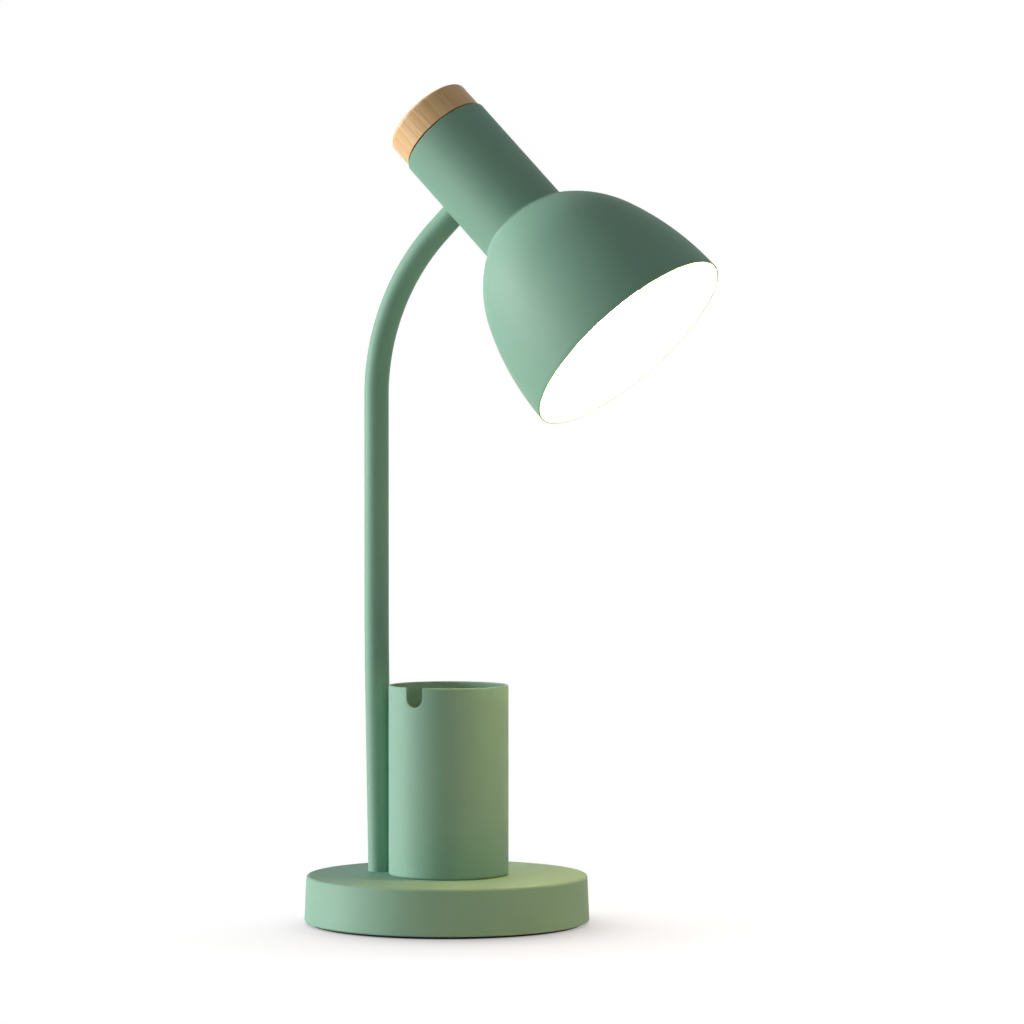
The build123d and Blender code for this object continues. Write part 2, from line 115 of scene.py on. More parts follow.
def makePowderCoat(settings):
    # Powder coat on pressed steel: even, matt, with a faint orange peel. The real peel is about 0.5 mm,
    # drawn three times as coarse so that it shows.
    material, tree = startMaterial("sagePowderCoat")
    place = addNode(tree, "ShaderNodeTexCoord").outputs["Object"]
    peel = addNode(tree, "ShaderNodeTexNoise",
                   {"Vector": place, "Scale": 1000 / settings["peelSize"], "Detail": 2.0})
    mottle = addNode(tree, "ShaderNodeTexNoise",
                     {"Vector": place, "Scale": 1000 / settings["mottleSize"], "Detail": 3.0})
    colour = addNode(tree, "ShaderNodeMix", {0: mottle.outputs[0], 6: linearColour(settings["colour"]),
                                             7: linearColour(settings["tint"])}, data_type="RGBA")
    rough = addNode(tree, "ShaderNodeMapRange",
                    {"Value": peel.outputs[0], **noiseSpread,
                     "To Min": settings["roughness"] - settings["roughnessSwing"],
                     "To Max": settings["roughness"] + settings["roughnessSwing"]})
    bump = addNode(tree, "ShaderNodeBump", {"Height": peel.outputs[0], "Strength": settings["peelStrength"],
                                            "Distance": settings["peelDepth"] * mm})
    shader = addNode(tree, "ShaderNodeBsdfPrincipled",
                     {"Base Color": colour.outputs[2], "IOR": settings["ior"],
                      "Specular IOR Level": settings["gloss"], "Roughness": rough.outputs[0],
                      "Normal": bump.outputs[0]})
    closeMaterial(tree, shader)
    return material


enamelSettings = {"colour": "#F3F0EA", "tint": "#ECE8E0", "roughness": 0.34, "ior": 1.5, "peelSize": 1.6,
                  "peelDepth": 0.02, "peelStrength": 0.3}


def makeEnamel(settings):
    # White enamel inside the shade: a little glossier than the coat, so it throws the light out.
    # Its peel is drawn as coarse as the coat's, so that it shows.
    material, tree = startMaterial("whiteEnamel")
    place = addNode(tree, "ShaderNodeTexCoord").outputs["Object"]
    peel = addNode(tree, "ShaderNodeTexNoise",
                   {"Vector": place, "Scale": 1000 / settings["peelSize"], "Detail": 2.0})
    colour = addNode(tree, "ShaderNodeMix", {0: peel.outputs[0], 6: linearColour(settings["colour"]),
                                             7: linearColour(settings["tint"])}, data_type="RGBA")
    bump = addNode(tree, "ShaderNodeBump", {"Height": peel.outputs[0], "Strength": settings["peelStrength"],
                                            "Distance": settings["peelDepth"] * mm})
    shader = addNode(tree, "ShaderNodeBsdfPrincipled",
                     {"Base Color": colour.outputs[2], "IOR": settings["ior"],
                      "Roughness": settings["roughness"], "Normal": bump.outputs[0]})
    closeMaterial(tree, shader)
    return material


sleeveFinish = {"colour": "#82B198", "tint": "#7AA78F", "roughness": 0.58, "ior": 1.41, "sheen": 0.12,
                "sheenRoughness": 0.5, "grainSize": 1.2, "grainDepth": 0.03, "grainStrength": 0.4,
                "mottleSize": 28.0}


def makeSilicone(settings):
    # Silicone sleeve, extruded: matt and slightly velvety. The real grain is as fine as dust,
    # drawn about a millimetre wide so that it shows.
    material, tree = startMaterial("sageSilicone")
    place = addNode(tree, "ShaderNodeTexCoord").outputs["Object"]
    grain = addNode(tree, "ShaderNodeTexNoise",
                    {"Vector": place, "Scale": 1000 / settings["grainSize"], "Detail": 3.0})
    mottle = addNode(tree, "ShaderNodeTexNoise",
                     {"Vector": place, "Scale": 1000 / settings["mottleSize"], "Detail": 2.0})
    colour = addNode(tree, "ShaderNodeMix", {0: mottle.outputs[0], 6: linearColour(settings["colour"]),
                                             7: linearColour(settings["tint"])}, data_type="RGBA")
    bump = addNode(tree, "ShaderNodeBump", {"Height": grain.outputs[0], "Strength": settings["grainStrength"],
                                            "Distance": settings["grainDepth"] * mm})
    shader = addNode(tree, "ShaderNodeBsdfPrincipled",
                     {"Base Color": colour.outputs[2], "IOR": settings["ior"],
                      "Roughness": settings["roughness"], "Sheen Weight": settings["sheen"],
                      "Sheen Roughness": settings["sheenRoughness"], "Normal": bump.outputs[0]})
    closeMaterial(tree, shader)
    return material


# The head's own frame: its axis runs from the knob to the shade's mouth
headAxis = Vector(joints["knob_turn"]["axis"]).normalized()
headOrigin = Vector(joints["knob_turn"]["pos_m"])
headAcross = Vector((-headAxis.z, 0, headAxis.x))
headTurn = Matrix((headAcross, headAxis.cross(headAcross), headAxis)).transposed()
headFrame = Matrix.Translation(headOrigin) @ headTurn.to_4x4()

woodSettings = {"light": "#FCD6A0", "mid": "#F2C188", "streak": "#B9824A", "roughness": 0.45,
                "streakRoughness": 0.65, "ior": 1.46, "pith": 46.0, "pithSlant": 0.35, "ringSpacing": 5.5,
                "ringWander": 1.6, "wanderSize": 14.0, "ringStretch": 0.06, "poreLength": 10.0,
                "poreWidth": 0.38, "poreLimits": (0.57, 0.72), "poreDark": 0.6, "poreDepth": 0.05,
                "poreStrength": 0.5, "rayWidth": 1.6, "rayLimits": (0.5, 0.72), "rayDark": 0.2}


def makeBeech(settings):
    # Oiled beech turned with the grain along the head's axis: long fine streaks on the side, growth rings
    # on the end. Beech pores are about 0.1 mm wide, drawn wider so that they show.
    material, tree = startMaterial("oiledBeech")
    place = addNode(tree, "ShaderNodeTexCoord").outputs["Object"]
    local = addNode(tree, "ShaderNodeMapping", {"Vector": place, "Location": headOrigin,
                                                "Rotation": headTurn.to_euler()}, vector_type="TEXTURE")
    pithSpot = (settings["pith"] * mm, settings["pithSlant"] * settings["pith"] * mm, 0.0)
    fromPith = addNode(tree, "ShaderNodeMapping", {"Vector": local.outputs[0], "Location": pithSpot,
                                                   "Scale": (1.0, 1.0, settings["ringStretch"])})
    wander = addNode(tree, "ShaderNodeTexNoise",
                     {"Vector": fromPith.outputs[0], "Scale": 1000 / settings["wanderSize"], "Detail": 2.0})
    radial = addNode(tree, "ShaderNodeVectorMath", {0: fromPith.outputs[0]}, operation="LENGTH")
    bent = addNode(tree, "ShaderNodeMath", {0: wander.outputs[0], 1: settings["ringWander"] * mm,
                                            2: radial.outputs["Value"]}, operation="MULTIPLY_ADD")
    turns = addNode(tree, "ShaderNodeMath", {0: bent.outputs[0], 1: 1000 / settings["ringSpacing"]},
                    operation="MULTIPLY")
    season = addNode(tree, "ShaderNodeMath", {0: turns.outputs[0]}, operation="FRACT")
    stretched = addNode(tree, "ShaderNodeMapping",
                        {"Vector": local.outputs[0],
                         "Scale": (1.0, 1.0, settings["poreWidth"] / settings["poreLength"])})
    marks = []
    for kind, detail in (("pore", 2.0), ("ray", 1.0)):
        # a cell of the noise holds a mark and the gap beside it
        noise = addNode(tree, "ShaderNodeTexNoise",
                        {"Vector": stretched.outputs[0], "Scale": 1000 / (2.0 * settings[kind + "Width"]),
                         "Detail": detail})
        low, high = settings[kind + "Limits"]
        mark = addNode(tree, "ShaderNodeMapRange",
                       {"Value": noise.outputs[0], "From Min": low, "From Max": high, "To Min": 0.0,
                        "To Max": settings[kind + "Dark"]})
        marks.append(mark.outputs[0])
    wood = addNode(tree, "ShaderNodeMix", {0: season.outputs[0], 6: linearColour(settings["light"]),
                                           7: linearColour(settings["mid"])}, data_type="RGBA")
    dark = addNode(tree, "ShaderNodeMath", dict(enumerate(marks)), operation="MAXIMUM")
    colour = addNode(tree, "ShaderNodeMix", {0: dark.outputs[0], 6: wood.outputs[2],
                                             7: linearColour(settings["streak"])}, data_type="RGBA")
    rough = addNode(tree, "ShaderNodeMapRange", {"Value": dark.outputs[0], "To Min": settings["roughness"],
                                                 "To Max": settings["streakRoughness"]})
    bump = addNode(tree, "ShaderNodeBump", {"Height": dark.outputs[0], "Strength": settings["poreStrength"],
                                            "Distance": settings["poreDepth"] * mm}, invert=True)
    shader = addNode(tree, "ShaderNodeBsdfPrincipled",
                     {"Base Color": colour.outputs[2], "IOR": settings["ior"], "Roughness": rough.outputs[0],
                      "Normal": bump.outputs[0]})
    closeMaterial(tree, shader)
    return material


plainFinishes = {
    # slot: (name, colour, second colour, roughness, metallic, grain in mm, bump depth in mm)
    "steel": ("zincPlatedSteel", "#B9BBBD", "#A4A7AA", 0.32, 1.0, 1.2, 0.01),
    "cast_iron": ("castIron", "#3A3A3C", "#2C2C2E", 0.78, 0.7, 1.8, 0.15),
    "black_rubber": ("blackRubber", "#1B1B1B", "#242424", 0.82, 0.0, 0.9, 0.06),
    "black_plastic": ("blackPhenolic", "#191919", "#212121", 0.4, 0.0, 1.0, 0.02),
    "white_plastic": ("whitePolycarbonate", "#E9E8E4", "#E1E0DB", 0.42, 0.0, 1.4, 0.02),
    "brass": ("nickelledBrass", "#C9A55C", "#B8934A", 0.3, 1.0, 1.0, 0.01),
    "lead_jacket": ("pvcJacket", "#DAD9D5", "#CFCEC9", 0.5, 0.0, 1.2, 0.02),
    "bulb_aluminium": ("pressedAluminium", "#CFD0D2", "#BFC0C3", 0.28, 1.0, 0.8, 0.01),
    "bulb_insulator": ("blackGlass", "#0F0F12", "#17171B", 0.12, 0.0, 2.0, 0.005),
}
plainSettings = {"cloudTimes": 9, "roughnessSwing": 0.06, "smoothest": 0.02, "grainStrength": 0.5}


def makePlainFinish(name, colourHex, tintHex, roughness, metallic, grain, depth):
    # Moulded, plated or cast surfaces: the grain breaks up the gloss, the second colour the evenness.
    # Grain finer than about a millimetre is drawn at that size so that it shows.
    swing = plainSettings["roughnessSwing"]
    material, tree = startMaterial(name)
    place = addNode(tree, "ShaderNodeTexCoord").outputs["Object"]
    noise = addNode(tree, "ShaderNodeTexNoise", {"Vector": place, "Scale": 1000 / grain, "Detail": 3.0})
    cloud = addNode(tree, "ShaderNodeTexNoise",
                    {"Vector": place, "Scale": 1000 / (grain * plainSettings["cloudTimes"]), "Detail": 2.0})
    colour = addNode(tree, "ShaderNodeMix", {0: cloud.outputs[0], 6: linearColour(colourHex),
                                             7: linearColour(tintHex)}, data_type="RGBA")
    rough = addNode(tree, "ShaderNodeMapRange",
                    {"Value": noise.outputs[0], **noiseSpread, "To Max": roughness + swing,
                     "To Min": max(plainSettings["smoothest"], roughness - swing)})
    bump = addNode(tree, "ShaderNodeBump", {"Height": noise.outputs[0], "Distance": depth * mm,
                                            "Strength": plainSettings["grainStrength"]})
    shader = addNode(tree, "ShaderNodeBsdfPrincipled",
                     {"Base Color": colour.outputs[2], "Metallic": metallic, "Roughness": rough.outputs[0],
                      "Normal": bump.outputs[0]})
    closeMaterial(tree, shader)
    return material


opalSettings = {"colour": "#F6F1E8", "tint": "#F1EADF", "cloudSize": 9.0, "glow": "#FFC186",
                "strength": 150.0, "roughness": 0.35}


def makeOpal(settings):
    # Opal diffuser of the lit bulb: even warm light from the whole globe, which the shade throws down
    # and forward.
    material, tree = startMaterial("litOpalDiffuser")
    place = addNode(tree, "ShaderNodeTexCoord").outputs["Object"]
    cloud = addNode(tree, "ShaderNodeTexNoise",
                    {"Vector": place, "Scale": 1000 / settings["cloudSize"], "Detail": 2.0})
    colour = addNode(tree, "ShaderNodeMix", {0: cloud.outputs[0], 6: linearColour(settings["colour"]),
                                             7: linearColour(settings["tint"])}, data_type="RGBA")
    shader = addNode(tree, "ShaderNodeBsdfPrincipled",
                     {"Base Color": colour.outputs[2], "Roughness": settings["roughness"],
                      "Emission Color": linearColour(settings["glow"]),
                      "Emission Strength": settings["strength"]})
    closeMaterial(tree, shader)
    return material


finishes = {slot: makePlainFinish(*values) for slot, values in plainFinishes.items()}
finishes["sage_paint"] = makePowderCoat(coatSettings)
finishes["sage_sleeve"] = makeSilicone(sleeveFinish)
finishes["beech"] = makeBeech(woodSettings)
finishes["opal"] = makeOpal(opalSettings)
whiteEnamel = makeEnamel(enamelSettings)
print("finishes made:", len(finishes) + 1)


# Section lines and turned shells

meshSettings = {"mergeGap": 0.002, "sharpAngle": 38.0, "holeSteps": 48}


def roundedLine(corners, closed=True, arcSteps=7, support=0.25):
    # corners are (across, up, rounding); an open line keeps its two ends
    points = []
    for number, (across, up, rounding) in enumerate(corners):
        here = Vector((across, up))
        atEnd = not closed and number in (0, len(corners) - 1)
        if rounding == 0 or atEnd:
            points.append(here)
            continue
        back = (Vector(corners[number - 1][:2]) - here).normalized()
        ahead = (Vector(corners[(number + 1) % len(corners)][:2]) - here).normalized()
        half = back.angle(ahead) / 2
        reach = rounding / math.tan(half)
        middle = here + (back + ahead).normalized() * (rounding / math.sin(half))
        fromMiddle = (here + back * reach - middle).normalized()
        toMiddle = (here + ahead * reach - middle).normalized()
        if support:
            points.append(here + back * (reach + support))
        for step in range(arcSteps + 1):
            points.append(middle + fromMiddle.slerp(toMiddle, step / arcSteps) * rounding)
        if support:
            points.append(here + ahead * (reach + support))
    return points


def steppedLine(points, step):
    # the line with its longer runs cut into even steps
    line = [points[0]]
    for point in points[1:]:
        start = line[-1]
        parts = max(1, round((point - start).length / step))
        line += [start.lerp(point, part / parts) for part in range(1, parts + 1)]
    return line


def tangentArc(start, heading, end, steps):
    # points on the arc that leaves start along heading and reaches end
    gap = end - start
    sideways = Vector((-heading.y, heading.x))
    if gap.dot(sideways) < 0:
        sideways = -sideways
    sweep = 2 * math.atan2(gap.dot(sideways), gap.dot(heading))
    radius = gap.length_squared / (2 * gap.dot(sideways))
    points = []
    for step in range(1, steps + 1):
        turn = sweep * step / steps
        points.append(start + (heading * math.sin(turn) + sideways * (1 - math.cos(turn))) * radius)
    return points


def smoothMesh(mesh, sharpAngle):
    # smooth shading, but for edges that turn by more than the angle, in degrees
    mesh.polygons.foreach_set("use_smooth", [True] * len(mesh.polygons))
    mesh.set_sharp_from_angle(angle=math.radians(sharpAngle))


def closeMesh(name, work, sharpAngle=meshSettings["sharpAngle"]):
    bmesh.ops.remove_doubles(work, verts=work.verts, dist=meshSettings["mergeGap"] * mm)
    if work.calc_volume(signed=True) < 0:
        bmesh.ops.reverse_faces(work, faces=work.faces)
    mesh = bpy.data.meshes.new(name)
    work.to_mesh(mesh)
    work.free()
    smoothMesh(mesh, sharpAngle)
    return mesh


def bridgeRings(work, first, second, finish=0):
    count = max(len(first), len(second))
    for step in range(count):
        following = (step + 1) % count
        if len(first) == 1:
            corners = (first[0], second[following], second[step])
        elif len(second) == 1:
            corners = (first[step], first[following], second[0])
        else:
            corners = (first[step], first[following], second[following], second[step])
        work.faces.new(corners).material_index = finish


def cappedMesh(name, first, second, sharpAngle=meshSettings["sharpAngle"]):
    # two rings of corners joined by a wall and closed at both ends
    work = bmesh.new()
    ends = [[work.verts.new(corner) for corner in ring] for ring in (first, second)]
    bridgeRings(work, *ends)
    work.faces.new(ends[0])
    work.faces.new(list(reversed(ends[1])))
    bmesh.ops.recalc_face_normals(work, faces=work.faces)
    return closeMesh(name, work, sharpAngle)


def turnedMesh(name, points, place, steps=160, closed=True, finishOf=None):
    # turns a section line of (radius, height) points about the Z axis of place
    work = bmesh.new()
    rings = []
    for radius, height in points:
        if radius < 1e-6:
            rings.append([work.verts.new(place @ Vector((0, 0, height * mm)))])
            continue
        ring = []
        for step in range(steps):
            turn = 2 * math.pi * step / steps
            spot = Vector((radius * math.cos(turn), radius * math.sin(turn), height)) * mm
            ring.append(work.verts.new(place @ spot))
        rings.append(ring)
    pairs = list(zip(rings, rings[1:] + rings[:1]))
    for number, (first, second) in enumerate(pairs if closed else pairs[:-1]):
        bridgeRings(work, first, second, finishOf(number) if finishOf else 0)
    return closeMesh(name, work)


def holeMesh(name, radius, low, high, place):
    # round cutter between two heights
    line = [(0, low), (radius, low), (radius, high), (0, high)]
    return turnedMesh(name, line, place, steps=meshSettings["holeSteps"], closed=False)


def addPiece(name, mesh, slot, nodes, body=None, materials=None):
    piece = bpy.data.objects.new(name, mesh)
    scene.collection.objects.link(piece)
    mesh.materials.clear()
    for material in materials or [finishes[slot]]:
        mesh.materials.append(material)
    if body:
        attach(piece, body)
    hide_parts(*nodes)
    return piece


def appliedMesh(piece):
    mesh = bpy.data.meshes.new_from_object(piece.evaluated_get(bpy.context.evaluated_depsgraph_get()))
    bpy.data.objects.remove(piece)
    return mesh


def cutAway(mesh, tool):
    # mesh with the closed shape tool taken out of it
    body = bpy.data.objects.new("cutBody", mesh)
    knife = bpy.data.objects.new("cutTool", tool)
    for piece in (body, knife):
        scene.collection.objects.link(piece)
    cut = body.modifiers.new("cut", "BOOLEAN")
    cut.operation = "DIFFERENCE"
    cut.solver = "EXACT"
    cut.object = knife
    bpy.context.view_layer.update()
    result = appliedMesh(body)
    bpy.data.objects.remove(knife)
    result.set_sharp_from_angle(angle=math.radians(meshSettings["sharpAngle"]))
    return result


# Base

coverSettings = {"radius": 81.0, "wall": 1.2, "draft": 1.2, "bend": 0.4, "rimLift": 1.5, "hem": 1.02,
                 "inletHole": 4.65, "holeReach": 9.0}
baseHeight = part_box("base_cover")[1].z / mm


def coverMesh(settings):
    wall, bend, lift = settings["wall"], settings["bend"], settings["rimLift"]
    rim = settings["radius"]
    top = rim - settings["draft"]
    line = roundedLine([
        (0, baseHeight, 0), (top, baseHeight, bend + wall), (rim, lift, settings["hem"]),
        (rim - wall, lift, 0), (top - wall, baseHeight - wall, bend), (0, baseHeight - wall, 0),
    ], closed=False, support=0.06)
    return turnedMesh("baseCover", line, Matrix.Identity(4), steps=192, closed=False)


inletMount = next(mount for mount in frame["record"]["mounts"] if mount["name"] == "cable_inlet")
inletTurn = Vector(inletMount["axis"]).to_track_quat("Z", "Y").to_matrix().to_4x4()
inletFrame = Matrix.Translation(Vector(inletMount["pos_m"])) @ inletTurn
inletHole = holeMesh("inletHole", coverSettings["inletHole"], -coverSettings["holeReach"],
                     coverSettings["holeReach"], inletFrame)
addPiece("baseCover", cutAway(coverMesh(coverSettings), inletHole), "sage_paint", ["base_cover"], "base")

grommetSettings = {"bore": 3.1, "neck": 4.5, "flange": 6.5, "edge": 2.85, "groove": 1.05, "soft": 0.6,
                   "lip": 0.3}


def grommetMesh(settings):
    bore, neck, flange = settings["bore"], settings["neck"], settings["flange"]
    edge, groove, soft, lip = settings["edge"], settings["groove"], settings["soft"], settings["lip"]
    line = roundedLine([
        (bore, -edge, soft), (flange, -edge, soft), (flange, -groove, lip), (neck, -groove, 0),
        (neck, groove, 0), (flange, groove, lip), (flange, edge, soft), (bore, edge, soft),
    ], support=0.0)
    return turnedMesh("cableGrommet", line, inletFrame, steps=64)


addPiece("cableGrommet", grommetMesh(grommetSettings), "black_rubber", ["cable_grommet"], "base")

padSettings = {"edge": 0.6, "upperEdge": 0.3, "holeRadius": 5.0, "holeReach": 2.0}
padLow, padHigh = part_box("foot_pad")
baseScrewSettings = {"headRadius": 3.5, "headHeight": 1.6, "shankRadius": 2.0, "angles": (0.0, 100.0, -100.0)}
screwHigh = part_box("base_screws")[1]
screwReach = screwHigh.x / mm - baseScrewSettings["headRadius"]
screwTurns = [math.radians(angle) for angle in baseScrewSettings["angles"]]
screwSpots = [(screwReach * math.cos(turn), screwReach * math.sin(turn)) for turn in screwTurns]


def padMesh(settings):
    radius = (padHigh.y - padLow.y) / 2 / mm
    thick = padHigh.z / mm
    reach = settings["holeReach"]
    line = roundedLine([
        (0, 0, 0), (radius, 0, settings["edge"]), (radius, thick, settings["upperEdge"]), (0, thick, 0),
    ], closed=False)
    mesh = turnedMesh("footPad", line, Matrix.Identity(4), closed=False)
    for x, y in screwSpots:
        spot = Matrix.Translation(Vector((x, y, 0)) * mm)
        mesh = cutAway(mesh, holeMesh("padHole", settings["holeRadius"], -reach, thick + reach, spot))
    return mesh


addPiece("footPad", padMesh(padSettings), "black_rubber", ["foot_pad"], "base")
print("base made")


# Pen cup: a drawn wall whose rim line dips into the notch

cupLow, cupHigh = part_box("pen_cup")
cupX = (cupLow.x + cupHigh.x) / 2 / mm
cupSettings = {"wall": 1.2, "edge": 1.6, "notchWidth": 10.6, "notchDepth": 11.2, "notchAngle": -98.0,
               "notchCorner": 0.5, "fanReach": 24.0, "fanDepth": 42.0, "rimStep": 2.4, "lipSteps": 8,
               "cornerSteps": 7, "floorShares": (0.4, 0.75), "wallStart": 0.4, "sharpAngle": 50.0,
               "fanRows": (1.0, 0.8, 0.62, 0.46, 0.33, 0.22, 0.13, 0.06, 0.02)}


def cupMesh(settings):
    wall, edge = settings["wall"], settings["edge"]
    outer = (cupHigh.y - cupLow.y) / 2 / mm
    inner = outer - wall
    middle = outer - wall / 2
    rim, foot = cupHigh.z / mm, cupLow.z / mm
    half = settings["notchWidth"] / 2
    dip = rim - settings["notchDepth"]
    girth = 2 * math.pi * middle
    corner = settings["notchCorner"]
    coarse = roundedLine([
        (-girth / 2, rim, 0), (-half, rim, corner), (-half, dip, half), (half, dip, half),
        (half, rim, corner), (girth / 2, rim, 0),
    ], closed=False, arcSteps=10, support=0.0)
    # the two rounded corners of the notch meet, and the last point is the first one again
    apart = [point for number, point in enumerate(coarse)
             if number == 0 or (point - coarse[number - 1]).length > 1e-4]
    rimLine = steppedLine(apart, settings["rimStep"])[:-1]
    count = len(rimLine)
    # below the notch the points of the rim line fan out to an even spread
    fan = [number for number in range(count) if abs(rimLine[number].x) < settings["fanReach"]]
    walked = [0.0]
    for number in fan[1:]:
        walked.append(walked[-1] + (rimLine[number] - rimLine[number - 1]).length)
    landing = [Vector((point.x, rim - settings["fanDepth"])) for point in rimLine]
    firstX, lastX = rimLine[fan[0]].x, rimLine[fan[-1]].x
    for number, distance in zip(fan, walked):
        landing[number].x = firstX + (lastX - firstX) * distance / walked[-1]
    once = Vector((girth, 0))
    around = [rimLine[-1] - once] + rimLine + [rimLine[0] + once]
    inwards = []
    for before, after in zip(around, around[2:]):
        heading = (after - before).normalized()
        inwards.append(Vector((heading.y, -heading.x)))
    work = bmesh.new()

    def ringAt(spots, radius):
        ring = []
        for along, height in spots:
            turn = math.radians(settings["notchAngle"]) + along / middle
            spot = Vector((cupX + radius * math.cos(turn), radius * math.sin(turn), height))
            ring.append(work.verts.new(spot * mm))
        return ring

    lipCentre = [point + inward * wall / 2 for point, inward in zip(rimLine, inwards)]
    plain = [spot.x for spot in landing]
    lipSteps, cornerSteps = settings["lipSteps"], settings["cornerSteps"]

    def wallRings(radius, cornerRadius, floorLevel):
        # from the floor's middle up the wall to just under the lip
        result = [[work.verts.new(Vector((cupX, 0, floorLevel)) * mm)]]
        flat = radius - cornerRadius
        for share in settings["floorShares"]:
            result.append(ringAt([(x, floorLevel) for x in plain], flat * share))
        for step in range(cornerSteps + 1):
            turn = math.pi / 2 * (1 - step / cornerSteps)
            level = floorLevel + cornerRadius * (1 - math.sin(turn))
            result.append(ringAt([(x, level) for x in plain], flat + cornerRadius * math.cos(turn)))
        top = rim - settings["fanDepth"]
        for level in (floorLevel + cornerRadius + settings["wallStart"], (floorLevel + top) / 2):
            result.append(ringAt([(x, level) for x in plain], radius))
        for share in settings["fanRows"]:
            spots = [centre.lerp(spot, share) for centre, spot in zip(lipCentre, landing)]
            result.append(ringAt(spots, radius))
        return result

    rings = wallRings(outer, edge, foot)
    for step in range(lipSteps + 1):
        turn = math.pi / 2 - math.pi * step / lipSteps
        reach = wall / 2 * math.cos(turn)
        spots = [centre - inward * reach for centre, inward in zip(lipCentre, inwards)]
        rings.append(ringAt(spots, middle + wall / 2 * math.sin(turn)))
    rings += reversed(wallRings(inner, edge - wall, foot + wall))
    for first, second in zip(rings, rings[1:]):
        bridgeRings(work, first, second)
    return closeMesh("penCup", work, settings["sharpAngle"])


addPiece("penCup", cupMesh(cupSettings), "sage_paint", ["pen_cup"], "base")
print("pen cup made")


# Screws, set by one node tree

screwSettings = {"recessLength": 4.2, "recessWidth": 1.05, "recessDepth": 1.1, "recessAbove": 1.0,
                 "topShare": 1.15, "floorShare": 0.62, "crown": 0.55, "tipEdge": 0.4, "sharpAngle": 35.0}


def screwMesh(name, size, shankLength, settings):
    # pan head with a cross recess, head up along +Z from the seat at z = 0, shank below it
    headRadius, headHeight, shankRadius = size["headRadius"], size["headHeight"], size["shankRadius"]
    line = roundedLine([
        (0, headHeight, 0), (headRadius, headHeight, headHeight * settings["crown"]), (headRadius, 0, 0),
        (shankRadius, 0, 0), (shankRadius, -shankLength, settings["tipEdge"]), (0, -shankLength, 0),
    ], closed=False, arcSteps=5, support=0.0)
    mesh = turnedMesh(name, line, Matrix.Identity(4), steps=40, closed=False)
    half, thin = settings["recessLength"] / 2, settings["recessWidth"] / 2
    levels = ((headHeight + settings["recessAbove"], settings["topShare"]),
              (headHeight - settings["recessDepth"], settings["floorShare"]))
    for quarter in (0, 1):
        turn = Matrix.Rotation(math.pi / 2 * quarter, 4, "Z")
        rings = []
        for level, share in levels:
            rings.append([turn @ (Vector((x * half * share, y * thin * share, level)) * mm)
                          for x, y in ((-1, -1), (1, -1), (1, 1), (-1, 1))])
        mesh = cutAway(mesh, cappedMesh("recess", *rings))
    smoothMesh(mesh, settings["sharpAngle"])
    return mesh


def startTree(name, inputs, output):
    # node tree with named inputs of the given kinds and one geometry output
    tree = bpy.data.node_groups.new(name, "GeometryNodeTree")
    for label, kind in inputs.items():
        tree.interface.new_socket(label, in_out="INPUT", socket_type="NodeSocket" + kind)
    tree.interface.new_socket(output, in_out="OUTPUT", socket_type="NodeSocketGeometry")
    return tree, addNode(tree, "NodeGroupInput")


def closeTree(tree, given, geometry, output):
    # real geometry with its finish on it
    real = addNode(tree, "GeometryNodeRealizeInstances", {"Geometry": geometry.outputs[0]})
    finished = addNode(tree, "GeometryNodeSetMaterial", {"Geometry": real.outputs[0],
                                                         "Material": given.outputs["Finish"]})
    addNode(tree, "NodeGroupOutput", {output: finished.outputs[0]})


def makeScrewTree():
    tree, given = startTree("setScrews", {"Places": "Geometry", "Screw": "Object", "Tilt": "Float",
                                          "Finish": "Material"}, "Screws")
    screw = addNode(tree, "GeometryNodeObjectInfo", {"Object": given.outputs["Screw"], "As Instance": True})
    turn = addNode(tree, "FunctionNodeRandomValue", {2: 0.0, 3: 1.5, "Seed": 4}, data_type="FLOAT")
    facing = addNode(tree, "ShaderNodeCombineXYZ", {"X": given.outputs["Tilt"], "Z": turn.outputs[1]})
    places = addNode(tree, "GeometryNodeMeshToPoints", {"Mesh": given.outputs["Places"]})
    placed = addNode(tree, "GeometryNodeInstanceOnPoints",
                     {"Points": places.outputs[0], "Instance": screw.outputs["Geometry"],
                      "Rotation": facing.outputs[0]})
    closeTree(tree, given, placed, "Screws")
    return tree


def runTree(start, tree, values):
    # evaluates a node tree on a mesh and gives back a plain mesh
    piece = bpy.data.objects.new("treeInput", start)
    scene.collection.objects.link(piece)
    modifier = piece.modifiers.new(tree.name, "NODES")
    modifier.node_group = tree
    for socket in tree.interface.items_tree:
        if socket.in_out == "INPUT" and socket.name in values:
            modifier[socket.identifier] = values[socket.name]
    bpy.context.view_layer.update()
    return appliedMesh(piece)


def placeScrews(name, node, spots, seat, head, tilt, body):
    template = bpy.data.objects.new(name + "Template", head)
    scene.collection.objects.link(template)
    places = bpy.data.meshes.new(name + "Places")
    places.from_pydata([Vector((x, y, seat)) * mm for x, y in spots], [], [])
    mesh = runTree(places, screwTree, {"Screw": template, "Tilt": tilt, "Finish": finishes["steel"]})
    bpy.data.objects.remove(template)
    addPiece(name, mesh, "steel", [node], body)


